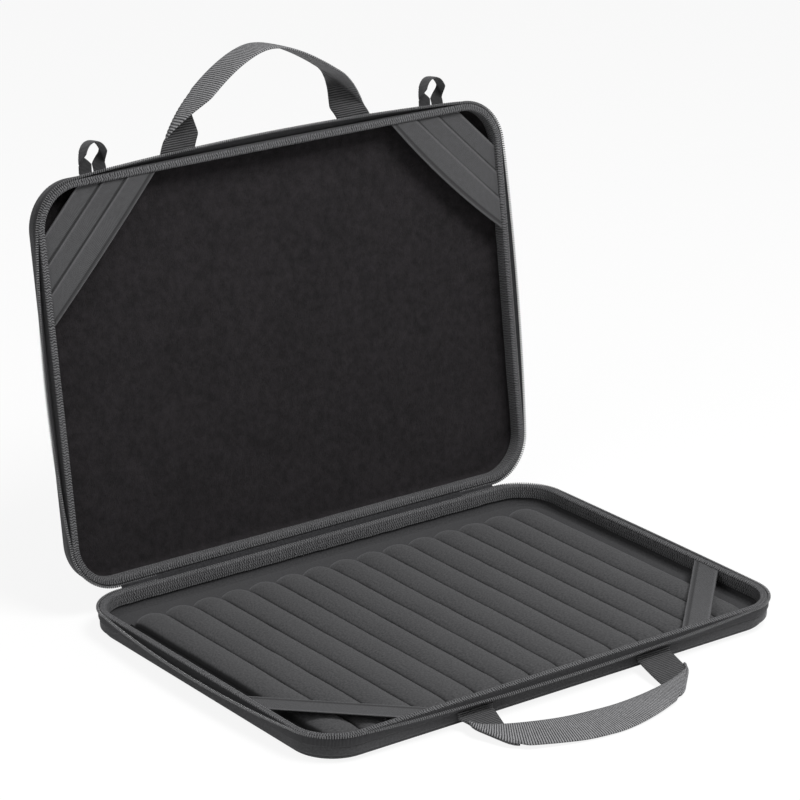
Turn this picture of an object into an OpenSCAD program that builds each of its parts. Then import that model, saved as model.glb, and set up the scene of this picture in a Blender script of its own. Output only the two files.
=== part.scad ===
// Hard case for a laptop: a moulded tray and lid joined by a fabric spine, with a
// two-way zip round the other three sides, a ribbed pad, corner bands and web handles.
// Millimetres, +Z up. The origin is the middle of the tray's flat underside, +X runs
// along the spine to the right and -Y points to the handle side.

/* [Case] */
// Outer width of the case, along the spine
case_w = 400; // [360:1:440]
// Outer depth of the case, from the spine to the handle side
case_d = 290; // [260:1:320]
// Radius of the case's corners, seen from above
corner_r = 35; // [28:0.5:42]
// Height of the tray, from its underside to the parting plane
tray_h = 20; // [19:0.5:28]
// Depth of the lid, from the parting plane to its back
lid_h = 20; // [19:0.5:28]
// Angle at which the lid stands open, measured from closed
lid_open = 98; // [92:1:104]
// Clearance between the two rims when the case is closed
rim_gap = 0.4; // [0.3:0.1:1]

/* [Moulded shells] */
// Thickness of the moulded wall
wall_t = 3; // [2.4:0.1:3.6]
// Thickness of the moulded floor
floor_t = 3; // [2:0.1:3.6]
// How far the upper wall stands inside the case's outline
wall_inset = 1.5; // [1.4:0.1:2]
// Height of the lower, set-in part of the wall
step_h = 5; // [4.5:0.1:5.6]
// How far the lower part of the wall is set in
step_in = 2.5; // [1:0.1:2.8]
// How far the rounded bottom edge reaches in under the shell
edge_run = 8; // [4:0.5:12]
// Radius of the fillet between the floor and the wall inside
inner_fillet = 5; // [4.5:0.1:6]

/* [Fabric] */
// Thickness of the lining
lining_t = 1; // [0.6:0.1:1.4]
// Thickness of the binding tape over the rim
binding_t = 1.1; // [0.8:0.1:1.4]
// Width of the binding tape on the inside of the rim
binding_w = 10; // [8:0.5:12]
// Thickness of the binding tape's turned top edge
binding_cap = 1.4; // [1:0.1:1.8]
// Thickness of the spine fabric and the handles' sewn ends
spine_t = 1.2; // [0.8:0.1:1.3]
// Distance from each side of the case to the end of the zip, beside the spine
zip_wrap = 66; // [62:1:90]

/* [Zip] */
// Thickness of the zip tape
tape_t = 1.1; // [0.8:0.1:1.3]
// Visible width of the zip tape below its teeth
tape_w = 6.2; // [5:0.1:7]
// Width of the row of teeth, across the tape
teeth_w = 2.2; // [1.8:0.1:2.4]
// Height of the row of teeth
teeth_h = 1.6; // [1.2:0.1:2]
// How far the tape leans outward in the middle of a side
flare_out = 5; // [0:0.5:7]
// How far the leaning tape drops in the middle of a side
flare_drop = 2.5; // [0:0.5:3]
// Distance of each zip slider from the end of the spine
slider_from_end = 18; // [16:1:20]
// Length of a slider
slider_len = 11; // [9:0.5:12]
// Length of a slider's pull
pull_len = 24; // [16:1:30]
// Clearance round the sliders and their pins
slide_gap = 0.3; // [0.25:0.05:0.4]

/* [Ribbed pad] */
// Number of ribs
rib_count = 15; // [11:1:17]
// Distance from each side of the case to the pad
pad_side = 25; // [23:0.5:40]
// Distance from the front of the case to the pad
pad_front = 12; // [10:0.5:20]
// Distance from the spine to the pad
pad_back = 28; // [12:0.5:40]
// Height of a rib's crown above the pad's backing
rib_h = 8.8; // [6:0.1:9]
// Depth of the channel between two ribs
channel_depth = 6; // [3:0.1:7]
// Thickness of the board that backs the pad
backing_t = 1.2; // [0.8:0.1:2]

/* [Corner bands] */
// Width of the elastic bands of the tray
band_w = 18; // [14:0.5:20]
// Width of the elastic bands of the lid
lid_band_w = 16; // [14:0.5:17]
// Thickness of the elastic bands
band_t = 0.8; // [0.6:0.1:1]
// Distance of the tray's bands from the case's corner
tray_band_reach = 62; // [50:1:70]
// Depth of the bands below the rim
band_sink = 2.3; // [2:0.1:3]
// Number of overlapping bands in each corner of the lid
lid_band_count = 3; // [3:1:3]
// Distance of the lid's first band from the case's corner
lid_band_reach = 38.6; // [36:0.2:44]
// Spacing of the lid's bands
lid_band_pitch = 14; // [13:0.1:15]

/* [Handles and loops] */
// Width of the handle webbing
web_w = 28; // [22:1:30]
// Thickness of the handle webbing
web_t = 1.8; // [1.2:0.1:2.2]
// Distance between the middles of a handle's two ends
handle_span = 152; // [140:2:170]
// Height of the handle ends above the underside of their shell
handle_z = 8; // [7.5:0.1:8.5]
// Reach of the tray's handle in front of the case
tray_handle_reach = 65.5; // [60:0.5:70]
// Slope at which the tray's handle lies down to the ground
tray_handle_slope = 7.3; // [6.6:0.1:7.4]
// Reach of the lid's handle
lid_handle_reach = 66; // [56:0.5:70]
// Width of the strap loops' ribbon
loop_w = 10; // [8:0.5:12]
// Thickness of the strap loops' ribbon
loop_t = 0.9; // [0.7:0.1:1.2]
// Distance of each strap loop from the side of the case
loop_inset = 55; // [52:1:70]
// Reach of the strap loops
loop_reach = 20; // [16:1:26]

/* [Hidden] */
$fn = 96;

// The joint of the spine: just behind the outline, midway between the two rims
hinge_y = case_d / 2 + 0.7;
hinge_z = tray_h + rim_gap / 2;

spine_w = case_w - 2 * zip_wrap;
loop_x = case_w / 2 - loop_inset;
rib_pitch = (case_w - 2 * pad_side) / rib_count;
rib_len = case_d - pad_front - pad_back;
pad_shift = (pad_back - pad_front) / 2;

// Faces of the moulded wall, as distances outward from the case's outline
wall_out = -wall_inset;
wall_in = wall_out - wall_t;
lining_in = wall_in - lining_t;
binding_in = lining_in - binding_t;
low_out = wall_out - step_in;
step_run = 0.6;
// Sides of the polygons that stand for the rounded edges
edge_steps = 6;
corner_steps = 10;

function arc(cx, cz, rx, rz, from, to) =
    [for (k = [0 : edge_steps]) let (a = from + (to - from) * k / edge_steps)
        [cx + rx * cos(a), cz + rz * sin(a)]];
// Points given from the case's outline, turned into distances from a corner's centre
function from_corner(points) = [for (p = points) [corner_r + p[0], p[1]]];

function rim_z(h) = h - 0.2;
function shell_top(h) = rim_z(h) - binding_cap;

function shell_profile(h) = from_corner(concat(
    [[-corner_r, 0]],
    arc(low_out - edge_run, step_h - step_run, edge_run, step_h - step_run, -90, 0),
    [[wall_out, step_h + step_run], [wall_out, shell_top(h)], [wall_in, shell_top(h)]],
    arc(wall_in - inner_fillet, floor_t + inner_fillet, inner_fillet, inner_fillet, 0, -90),
    [[-corner_r, floor_t]]));

function lining_profile(h) = from_corner(concat(
    [[-corner_r, floor_t]],
    arc(wall_in - inner_fillet, floor_t + inner_fillet, inner_fillet, inner_fillet, -90, 0),
    [[wall_in, shell_top(h)], [lining_in, shell_top(h)]],
    arc(wall_in - inner_fillet, floor_t + inner_fillet,
        inner_fillet - lining_t, inner_fillet - lining_t, 0, -90),
    [[-corner_r, floor_t + lining_t]]));

function binding_profile(h) = from_corner(
    [[binding_in, rim_z(h) - binding_w], [lining_in, rim_z(h) - binding_w],
     [lining_in, shell_top(h)], [wall_out, shell_top(h)],
     [wall_out, rim_z(h)], [binding_in, rim_z(h)]]);

// A profile carried round the four corners and along the four sides of the case
module round_case(profile) {
    half_w = case_w / 2 - corner_r;
    half_d = case_d / 2 - corner_r;
    quarter = [[half_w, half_d], [-half_w, half_d], [-half_w, -half_d], [half_w, -half_d]];
    for (k = [0 : 3]) {
        translate(quarter[k])
            rotate([0, 0, 90 * k])
                rotate_extrude(angle = 90)
                    polygon(profile);
        rotate([0, 0, 90 * k])
            translate([k % 2 == 0 ? half_w : half_d, 0, 0])
                rotate([90, 0, 0])
                    linear_extrude(2 * (k % 2 == 0 ? half_d : half_w), center = true)
                        polygon(profile);
    }
}

module floor_plate(z, t) {
    translate([corner_r - case_w / 2, corner_r - case_d / 2, z])
        cube([case_w - 2 * corner_r, case_d - 2 * corner_r, t]);
}

module shell(h) {
    round_case(shell_profile(h));
    floor_plate(0, floor_t);
}

module lining(h) {
    round_case(lining_profile(h));
    floor_plate(floor_t, lining_t);
}

// A closed band through rings of points, with a cap at each end. The two halves of a ring
// lie opposite each other.
module sweep(rings) {
    n = len(rings[0]);
    last = len(rings) - 1;
    polyhedron(
        points = [for (ring = rings) for (p = ring) p],
        faces = concat(
            [for (i = [0 : last - 1]) for (j = [0 : n - 1]) let (k = (j + 1) % n)
                each [[i * n + j, i * n + k, (i + 1) * n + k],
                      [i * n + j, (i + 1) * n + k, (i + 1) * n + j]]],
            [for (j = [0 : n / 2 - 2]) let (a = n - 1 - j)
                each [[j, a, a - 1], [j, a - 1, j + 1]]],
            [for (j = [0 : n / 2 - 2]) let (a = last * n + n - 1 - j, b = last * n + j)
                each [[b, a - 1, a], [b, b + 1, a - 1]]]));
}

// Stations along the zip: from the left end of the spine round by the handle side to
// the right end. Each is [foot, outward direction, radius at the foot, stretch, flare].
side_steps = 10;
function flare(u) = pow(sin(180 * u), 0.8);
function side_stations(from, to, out, flared) =
    [for (k = [0 : side_steps]) let (u = k / side_steps)
        [from + (to - from) * u, out, 0, 1, flared ? flare(u) : 0]];
function corner_stations(centre, start) =
    [for (k = [0 : corner_steps - 1]) let (a = start + (k + 0.5) * 90 / corner_steps)
        [centre, [cos(a), sin(a)], corner_r, 1 / cos(45 / corner_steps), 0]];
zip_end = spine_w / 2;
half_w = case_w / 2;
half_d = case_d / 2;
stations = concat(
    side_stations([-zip_end - 0.1, half_d], [corner_r - half_w, half_d], [0, 1], false),
    corner_stations([corner_r - half_w, half_d - corner_r], 90),
    side_stations([-half_w, half_d - corner_r], [-half_w, corner_r - half_d], [-1, 0], true),
    corner_stations([corner_r - half_w, corner_r - half_d], 180),
    side_stations([corner_r - half_w, -half_d], [half_w - corner_r, -half_d], [0, -1], true),
    corner_stations([half_w - corner_r, corner_r - half_d], 270),
    side_stations([half_w, corner_r - half_d], [half_w, half_d - corner_r], [1, 0], true),
    corner_stations([half_w - corner_r, half_d - corner_r], 0),
    side_stations([half_w - corner_r, half_d], [zip_end + 0.1, half_d], [0, 1], false));
function at(s, out, z) =
    [s[0][0] + s[1][0] * (s[2] + out) * s[3], s[0][1] + s[1][1] * (s[2] + out) * s[3], z];

function tape_top(h, f) = rim_z(h) - teeth_h - flare_drop * f;
module zip_tape(h) {
    foot = rim_z(h) - teeth_h - tape_w;
    sweep([for (s = stations) let (lean = flare_out * s[4], top = tape_top(h, s[4]))
        [at(s, wall_out, foot), at(s, wall_out + lean, top),
         at(s, wall_out + tape_t + lean, top), at(s, wall_out + tape_t, foot)]]);
}

module zip_teeth(h) {
    inner = wall_out + 0.1;
    sweep([for (s = stations) let (lean = flare_out * s[4], foot = tape_top(h, s[4]))
        [at(s, inner + lean, foot), at(s, inner + lean, foot + teeth_h),
         at(s, inner + teeth_w + lean, foot + teeth_h), at(s, inner + teeth_w + lean, foot)]]);
}

module spine_leaf(h) {
    translate([-spine_w / 2, half_d + wall_out, step_h + step_run])
        cube([spine_w, spine_t, rim_z(h) - 0.4 - step_h - step_run]);
}

// Straight elastic band across a corner, cut to the inside of the binding
module corner_band(side, reach, width, z) {
    inner_r = corner_r + binding_in;
    span = half_w + half_d;
    intersection() {
        translate([side * half_w, -half_d, z])
            rotate([0, 0, side > 0 ? 135 : 45])
                translate([reach - width / 2, -span / 2, 0])
                    cube([width, span, band_t]);
        translate([0, 0, z - 1])
            linear_extrude(band_t + 2)
                union() {
                    square([2 * (half_w + binding_in), case_d - 2 * corner_r], center = true);
                    square([case_w - 2 * corner_r, 2 * (half_d + binding_in)], center = true);
                    for (sx = [-1, 1]) for (sy = [-1, 1])
                        translate([sx * (half_w - corner_r), sy * (half_d - corner_r)])
                            circle(r = inner_r);
                }
    }
}

// Woven strap that leaves the wall flat, folds over on a slant so that its outer edge comes
// to the front, and arches across. shape: reach of the arch, how far its knee stands in
// from the foot's outer edge and out from the wall, half width of its top, share of the
// length that the fold takes, lean of the arch, its drop, and the sideways shift of its top.
strap_steps = 20;
strap_lanes = 6;
fold_from = 0.12;
fold_soft = 0.2;
function bezier(p, t) = pow(1 - t, 3) * p[0] + 3 * pow(1 - t, 2) * t * p[1]
    + 3 * (1 - t) * t * t * p[2] + pow(t, 3) * p[3];
function smooth(u) = let (v = min(max(u, 0), 1)) v * v * (3 - 2 * v);
function strap_line(span, shape, width, t) =
    let (x = (span + width) / 2, r = shape[0])
        bezier([[x, 0], [x - shape[1], shape[2]], [shape[3], r], [0, r]], t);
function total(list, n) = n < 1 ? 0 : list[n - 1] + total(list, n - 1);
function strap_ring(span, shape, width, thick, foot, k) =
    let (t = 1 - abs(k) / strap_steps,
        side = k < 0 ? -1 : 1,
        p = strap_line(span, shape, width, t),
        d = strap_line(span, shape, width, min(t + 0.01, 1))
            - strap_line(span, shape, width, max(t - 0.01, 0)),
        run = d / norm(d),
        folded = min(max((t - fold_from) / shape[4], 0), 1),
        front = folded * (1 + fold_soft) - fold_soft / 2,
        turned = smooth(2 * folded - 1),
        across = [1 - turned + turned * run[1], -turned * run[0]],
        out = across / norm(across),
        inner = [p[0] - (1 - folded) * width, p[1]],
        lane = width / strap_lanes,
        turn = [for (j = [0 : 0.5 : strap_lanes])
            (90 + shape[5]) * smooth((front - 1 + j / strap_lanes) / fold_soft + 0.5)],
        // The turn in the middle of each lane
        mid = [for (j = [1 : 2 : 2 * strap_lanes]) turn[j]],
        flat = [for (m = mid) lane * cos(m)],
        rise = [for (m = mid) lane * sin(m)],
        points = [for (j = [0 : strap_lanes]) let (q = inner + out * total(flat, j))
            [q[0], q[1], shape[6] * smooth(2 * t) + total(rise, j)]],
        thin = [for (j = [0 : strap_lanes]) let (a = turn[2 * j],
            n = cross([run[0], run[1], 0], [out[0] * cos(a), out[1] * cos(a), sin(a)]))
            n / norm(n) * thick / 2],
        ring = concat([for (j = [0 : strap_lanes]) points[j] + thin[j]],
            [for (j = [strap_lanes : -1 : 0]) points[j] - thin[j]]))
    [for (v = ring)
        [foot[0] + side * v[0] + shape[7] * smooth(t), foot[1] - v[1], foot[2] + v[2]]];
module strap(span, shape, width, thick, foot) {
    sweep([for (k = [-strap_steps : strap_steps])
        strap_ring(span, shape, width, thick, foot, k)]);
}

// The tray's handle lies out on the ground: each end of the webbing is folded over on a
// slanted crease, and the arched grip lies on top of the two ends. Distances are out from
// the wall. A row crosses the webbing from its far edge to its near one.
grip_steps = 32;
grip_foot = (handle_span + web_w) / 2;
grip_fold = [8, 18];
grip_corner = [[14 - grip_foot, grip_fold[0] + 40], [grip_foot - 35, grip_fold[1] + 34]];
crease_r = web_t / 2 + 0.1;
function mix(a, b, u) = a + (b - a) * u;
function grip_far(u) = mix(grip_corner[0][1], grip_corner[1][1], u)
    + (tray_handle_reach - (grip_corner[0][1] + grip_corner[1][1]) / 2) * sin(180 * u);
function grip_near(u) = mix(grip_fold[0], grip_fold[1], u)
    + (tray_handle_reach - web_w - (grip_fold[0] + grip_fold[1]) / 2) * pow(sin(180 * u), 0.6);
function web_row(far, near, up) = [far + up, near + up, near - up, far - up];
function root_row(side) =
    web_row([side * (grip_foot - web_w), 0, 0], [side * grip_foot, 0, 0], [0, 0, -web_t / 2]);
function crease_row(side, turn) =
    let (k = side < 0 ? 0 : 1,
        far = [grip_corner[k][0], -grip_corner[k][1], crease_r],
        near = [side * grip_foot, -grip_fold[k], crease_r],
        along = (far - near) / norm(far - near),
        out = side * sin(turn) * [-along[1], along[0], 0] - [0, 0, cos(turn)])
    web_row(far + out * crease_r, near + out * crease_r, out * web_t / 2);
function grip_row(u) =
    web_row([mix(grip_corner[0][0], grip_corner[1][0], u), -grip_far(u), 2 * crease_r],
        [mix(-grip_foot, grip_foot, u), -grip_near(u), 2 * crease_r], [0, 0, web_t / 2]);
module lying_strap() {
    rotate([tray_handle_slope, 0, 0])
        sweep(concat([root_row(-1)],
            [for (turn = [0 : 45 : 180]) crease_row(-1, turn)],
            [for (k = [1 : grip_steps - 1]) grip_row(k / grip_steps)],
            [for (turn = [180 : -45 : 0]) crease_row(1, turn)],
            [root_row(1)]));
}

// The line that a handle or loop swings about, just outside its sewn end
swing_y = -half_d + wall_inset - spine_t - web_t / 2 - 0.4;

module handle_ends() {
    top = rim_z(tray_h) - teeth_h - tape_w;
    low = handle_z - web_t / 2;
    for (side = [-1, 1])
        translate([side * handle_span / 2 - web_w / 2, -half_d - wall_out - spine_t, low])
            cube([web_w, spine_t, top - low]);
}

// Quilted pad of foam ribs, with sewn channels and rounded, drawn-in ends
pad_w = rib_count * rib_pitch;
rib_cuts = 6;
end_cuts = [0, 0.012, 0.035, 0.08, 0.5, 0.92, 0.965, 0.988, 1];
pad_floor = floor_t + lining_t + backing_t;
function crown(u) = pow(sin(180 * u), 0.55);
function end_fall(v) = let (e = min(v, 1 - v) * rib_len / 20) sqrt(1 - pow(1 - min(e, 1), 2));
// A rib's end is drawn in by its channels
function end_pull(u, v) = (v < 0.5 ? 1 : -1) * (1 - crown(u)) * 5 * (abs(v - 0.5) > 0.4 ? 1 : 0);
function pad_point(i, v) =
    let (u = (i % rib_cuts) / rib_cuts, c = crown(u),
        edge = (i == 0 || i == rib_count * rib_cuts) ? 0 : 1,
        top = rib_h - channel_depth * (1 - c))
        [(i / rib_cuts - rib_count / 2) * rib_pitch,
         (v - 0.5) * rib_len - pad_shift + end_pull(u, v),
         pad_floor + 0.8 + max(top - 0.8, 0) * end_fall(v) * edge];

module quilted_pad() {
    cols = rib_count * rib_cuts;
    rows = len(end_cuts);
    top = [for (i = [0 : cols]) for (v = end_cuts) pad_point(i, v)];
    base = [for (p = top) [p[0], p[1], pad_floor]];
    m = len(top);
    function id(i, j) = i * rows + j;
    // The base repeats only the outline of the top
    ring = concat([for (i = [0 : cols]) id(i, 0)], [for (j = [1 : rows - 1]) id(cols, j)],
        [for (i = [cols - 1 : -1 : 0]) id(i, rows - 1)], [for (j = [rows - 2 : -1 : 1]) id(0, j)]);
    q = len(ring);
    polyhedron(
        points = concat(top, [for (k = ring) base[k]], [[0, -pad_shift, pad_floor]]),
        faces = concat(
            [for (i = [0 : cols - 1]) for (j = [0 : rows - 2])
                each [[id(i, j), id(i, j + 1), id(i + 1, j + 1)],
                      [id(i, j), id(i + 1, j + 1), id(i + 1, j)]]],
            [for (k = [0 : q - 1]) let (n = (k + 1) % q)
                each [[ring[k], ring[n], m + n], [ring[k], m + n, m + k]]],
            [for (k = [0 : q - 1]) [m + q, m + k, m + (k + 1) % q]]));
}

// Zip slider: a block that runs on the teeth, with a crown that holds the pull's pin
slider_z = rim_z(tray_h) - 0.5;
slider_low = 10.4;
pin_r = 0.7;
crown_t = 3;
teeth_out = half_d + wall_out + 0.1 + teeth_w;
slider_out = teeth_out + slide_gap + 1.4;
pin_y = slider_out + slide_gap + pin_r + 0.5;
pin_z = (slider_low + slider_z) / 2;
function slider_x(side) = side * (zip_end + slider_from_end);

module zip_slider(side) {
    tape_out = half_d + wall_out + tape_t + slide_gap;
    teeth_foot = rim_z(tray_h) - teeth_h - slide_gap;
    shoulder = slider_len * 0.32;
    translate([slider_x(side), 0, 0]) {
        translate([0, slider_out, 0])
            rotate([90, 0, 0])
                linear_extrude(slider_out - teeth_out - slide_gap)
                    polygon([[-slider_len / 2, slider_low + 1.5], [-shoulder, slider_low],
                        [shoulder, slider_low + 1], [slider_len / 2, slider_low + 2.4],
                        [slider_len / 2, slider_z - 1.4], [shoulder, slider_z],
                        [-shoulder, slider_z], [-slider_len / 2, slider_z - 1]]);
        translate([-shoulder, tape_out, slider_low + 1])
            cube([2 * shoulder, teeth_out + slide_gap - tape_out, teeth_foot - slider_low - 1]);
        difference() {
            translate([-3.5, slider_out, pin_z - crown_t / 2])
                cube([7, pin_y + pin_r + slide_gap + 1 - slider_out, crown_t]);
            translate([0, pin_y, pin_z - crown_t])
                cylinder(r = pin_r + slide_gap, h = 2 * crown_t);
        }
    }
}

module zip_pull(side) {
    ear_t = 1.4;
    ear_z = crown_t / 2 + slide_gap;
    half = ear_z + ear_t;
    translate([slider_x(side), pin_y, pin_z])
        mirror([side > 0 ? 1 : 0, 0, 0]) {
            translate([0, 0, -half])
                cylinder(r = pin_r, h = 2 * half);
            for (s = [-1, 1])
                translate([-pin_r - 0.3, -0.8, s * (ear_z + ear_t / 2) - ear_t / 2])
                    cube([6 + pin_r, 1.6, ear_t]);
            difference() {
                union() {
                    translate([4.6, -0.8, -half])
                        cube([pull_len - 4.6 - half, 1.6, 2 * half]);
                    translate([pull_len - half, 0.8, 0])
                        rotate([90, 0, 0])
                            cylinder(r = half, h = 1.6);
                }
                translate([pull_len - half, 2, 0])
                    rotate([90, 0, 0])
                        cylinder(r = 1.2, h = 4);
            }
        }
}

module zip_end_tab(side) {
    tab_l = 8;
    foot = rim_z(tray_h) - teeth_h - tape_w;
    translate([side > 0 ? zip_end + 0.1 : -zip_end - 0.1 - tab_l,
        half_d + wall_out + tape_t, foot])
        cube([tab_l, 1, tape_w - 0.2]);
}

// The lid is drawn like a tray that lies on its back, then turned over the tray and
// swung open about the spine
module as_lid() {
    translate([0, hinge_y, hinge_z])
        rotate([-lid_open, 0, 0])
            translate([0, -hinge_y, tray_h + rim_gap + lid_h - hinge_z])
                mirror([0, 0, 1])
                    children();
}

module tray_shell() { color([0.20, 0.20, 0.21]) shell(tray_h); }
module tray_lining() { color([0.27, 0.27, 0.28]) lining(tray_h); }
module tray_binding() { color([0.33, 0.33, 0.34]) round_case(binding_profile(tray_h)); }
module tray_zip_tape() { color([0.28, 0.28, 0.29]) zip_tape(tray_h); }
module tray_zip_teeth() { color([0.40, 0.40, 0.41]) zip_teeth(tray_h); }
module spine_tray_leaf() { color([0.24, 0.24, 0.25]) spine_leaf(tray_h); }
module zip_end_tab_left() { color([0.30, 0.30, 0.31]) zip_end_tab(-1); }
module zip_end_tab_right() { color([0.30, 0.30, 0.31]) zip_end_tab(1); }
module pad_backing() {
    color([0.24, 0.24, 0.25])
        translate([-pad_w / 2, -rib_len / 2 - pad_shift, floor_t + lining_t])
            cube([pad_w, rib_len, backing_t]);
}
module rib_pad() { color([0.30, 0.30, 0.31]) quilted_pad(); }
tray_band_z = rim_z(tray_h) - band_sink;
module tray_band_left() {
    color([0.33, 0.33, 0.34]) corner_band(-1, tray_band_reach, band_w, tray_band_z);
}
module tray_band_right() {
    color([0.33, 0.33, 0.34]) corner_band(1, tray_band_reach, band_w, tray_band_z);
}
module tray_handle_ends() { color([0.38, 0.38, 0.39]) handle_ends(); }
module tray_handle() {
    color([0.40, 0.40, 0.41]) translate([0, swing_y, handle_z]) lying_strap();
}

module lid_shell() { color([0.20, 0.20, 0.21]) as_lid() shell(lid_h); }
module lid_lining() { color([0.10, 0.09, 0.10]) as_lid() lining(lid_h); }
module lid_binding() {
    color([0.33, 0.33, 0.34]) as_lid() round_case(binding_profile(lid_h));
}
module lid_zip_tape() { color([0.28, 0.28, 0.29]) as_lid() zip_tape(lid_h); }
module lid_zip_teeth() { color([0.40, 0.40, 0.41]) as_lid() zip_teeth(lid_h); }
module spine_lid_leaf() { color([0.24, 0.24, 0.25]) as_lid() spine_leaf(lid_h); }
module lid_band(side, k) {
    depth = band_sink + (lid_band_count - k) * (band_t + 0.2);
    color([0.30, 0.30, 0.31])
        as_lid()
            corner_band(side, lid_band_reach + (k - 1) * lid_band_pitch, lid_band_w,
                rim_z(lid_h) - depth);
}
module lid_handle_ends() { color([0.38, 0.38, 0.39]) as_lid() handle_ends(); }
module lid_handle() {
    color([0.40, 0.40, 0.41])
        as_lid()
            strap(handle_span, [lid_handle_reach, 6, 22, 30, 0.38, 3, -5, -4], web_w, web_t,
                [0, swing_y, handle_z]);
}
module lid_loop(side) {
    color([0.30, 0.30, 0.31])
        as_lid()
            strap(loop_w + 1.6, [loop_reach, 1, 9, 8, 0.38, 0, -2, 0], loop_w, loop_t,
                [side * loop_x, swing_y, handle_z]);
}

tray_shell();
tray_lining();
tray_binding();
tray_zip_tape();
tray_zip_teeth();
spine_tray_leaf();
zip_end_tab_left();
zip_end_tab_right();
pad_backing();
rib_pad();
tray_band_left();
tray_band_right();
tray_handle_ends();
tray_handle();
lid_shell();
lid_lining();
lid_binding();
lid_zip_tape();
lid_zip_teeth();
spine_lid_leaf();
lid_band(-1, 1);  // lid_band_left_1
lid_band(-1, 2);  // lid_band_left_2
lid_band(-1, 3);  // lid_band_left_3
lid_band(1, 1);  // lid_band_right_1
lid_band(1, 2);  // lid_band_right_2
lid_band(1, 3);  // lid_band_right_3
lid_handle_ends();
lid_handle();
lid_loop(-1);  // lid_loop_left
lid_loop(1);  // lid_loop_right
zip_slider(-1);  // zip_slider_left
zip_slider(1);  // zip_slider_right
zip_pull(-1);  // zip_pull_left
zip_pull(1);  // zip_pull_right
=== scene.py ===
# %% [markdown]
# # A hard case for a laptop
#
# The real case is two shallow trays pressed from foam board and covered in cloth. A strip
# of cloth hinges them at the back and a coil zip runs round the other three sides. Inside
# are a quilted foam pad, dark fleece and flat elastic bands; outside are two web handles.
#
# Nearly every part follows the same line, the rim, so this lesson starts with a way to walk
# round the rim, and then hangs shells, tapes, teeth and stitches on it.

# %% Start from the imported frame
import math

import bmesh
import bpy
import numpy as np
from mathutils import Matrix, Vector, noise


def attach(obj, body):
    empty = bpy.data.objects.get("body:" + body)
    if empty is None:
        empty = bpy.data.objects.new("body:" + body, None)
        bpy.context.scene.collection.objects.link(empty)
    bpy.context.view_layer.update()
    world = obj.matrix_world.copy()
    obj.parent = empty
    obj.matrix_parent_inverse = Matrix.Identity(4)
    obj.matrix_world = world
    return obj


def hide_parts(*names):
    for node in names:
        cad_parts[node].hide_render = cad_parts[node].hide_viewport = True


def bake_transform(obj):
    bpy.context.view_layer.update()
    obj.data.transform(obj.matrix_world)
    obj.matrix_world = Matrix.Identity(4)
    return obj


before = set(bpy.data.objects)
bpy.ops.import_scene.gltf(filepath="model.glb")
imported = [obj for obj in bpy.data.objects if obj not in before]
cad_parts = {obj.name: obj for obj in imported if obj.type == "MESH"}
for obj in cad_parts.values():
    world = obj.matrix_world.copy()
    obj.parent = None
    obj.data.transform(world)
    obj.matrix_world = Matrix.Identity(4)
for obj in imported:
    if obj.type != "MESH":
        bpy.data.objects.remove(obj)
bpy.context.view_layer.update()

# %% [markdown]
# ## Sizes
# All sizes below are in millimetres and are turned into metres when a mesh is made. They
# repeat the part's own sizes, so each piece lies where its solid lies.

# %% The case's sizes
MM = 0.001
CASE_W, CASE_D, CORNER_R = 400.0, 290.0, 35.0
TRAY_H, LID_H, RIM_GAP = 20.0, 20.0, 0.4
LID_OPEN = 98.0
HINGE_Y, HINGE_Z = CASE_D / 2 + 0.7, TRAY_H + RIM_GAP / 2
WALL_OUT, BINDING_IN = -1.5, -6.6
RIM_Z = TRAY_H - 0.2
TEETH_H, TAPE_H = 1.6, 6.2
TAPE_FOOT = RIM_Z - TEETH_H - TAPE_H
# A strap swings this far in front of the case: wall set in, sewn end, half a web, gap
WALL_SET_IN, SEWN_END_T, HALF_WEB_T, SWING_GAP = 1.5, 1.2, 0.9, 0.4
SWING_Y = -CASE_D / 2 + WALL_SET_IN - SEWN_END_T - HALF_WEB_T - SWING_GAP
ZIP_END = 134.0

# %% [markdown]
# ## Walking round the rim
# A rounded rectangle is eight pieces: four straights and four quarter circles. The walk
# starts in the middle of the back, beside the spine, and goes anticlockwise. Each station
# is a point on the case's outline and the direction that points outwards there, so that a
# tape or a tooth is placed by how far out and how high it is.

# %% Stations on the rim
HALF_W, HALF_D = CASE_W / 2 - CORNER_R, CASE_D / 2 - CORNER_R
QUARTER = math.pi * CORNER_R / 2
RIM_RUNS = [HALF_W, QUARTER, 2 * HALF_D, QUARTER, 2 * HALF_W,
            QUARTER, 2 * HALF_D, QUARTER, HALF_W]
RIM_LENGTH = sum(RIM_RUNS)
CENTRES = [(-HALF_W, HALF_D), (-HALF_W, -HALF_D), (HALF_W, -HALF_D), (HALF_W, HALF_D)]


def rim_station(s):
    """(x, y, out x, out y, flare) at the distance s along the outline."""
    s = s % RIM_LENGTH
    for run, length in enumerate(RIM_RUNS):
        if s <= length or run == 8:
            break
        s -= length
    side = run // 2
    if run % 2:
        a = math.radians(90 + 90 * side) + s / CORNER_R
        cx, cy = CENTRES[side]
        out = (math.cos(a), math.sin(a))
        return cx + CORNER_R * out[0], cy + CORNER_R * out[1], out[0], out[1], 0.0
    out = [(0, 1), (-1, 0), (0, -1), (1, 0), (0, 1)][side]
    start = [(0, CASE_D / 2), (-CASE_W / 2, HALF_D), (-HALF_W, -CASE_D / 2),
             (CASE_W / 2, -HALF_D), (HALF_W, CASE_D / 2)][side]
    u = s / length
    flare = math.sin(math.pi * u) ** 0.8 if side in (1, 2, 3) and 0 < u < 1 else 0.0
    return start[0] - out[1] * s, start[1] + out[0] * s, out[0], out[1], flare


def rim_walk(start=0.0, end=RIM_LENGTH, step=3.0):
    """Distances and stations at even spaces of about step, both ends included."""
    n = max(2, round((end - start) / step))
    distances = np.linspace(start, end, n + 1)
    return distances, np.array([rim_station(min(s, RIM_LENGTH - 1e-6)) for s in distances])


print("rim length, mm:", round(RIM_LENGTH, 1))

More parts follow.
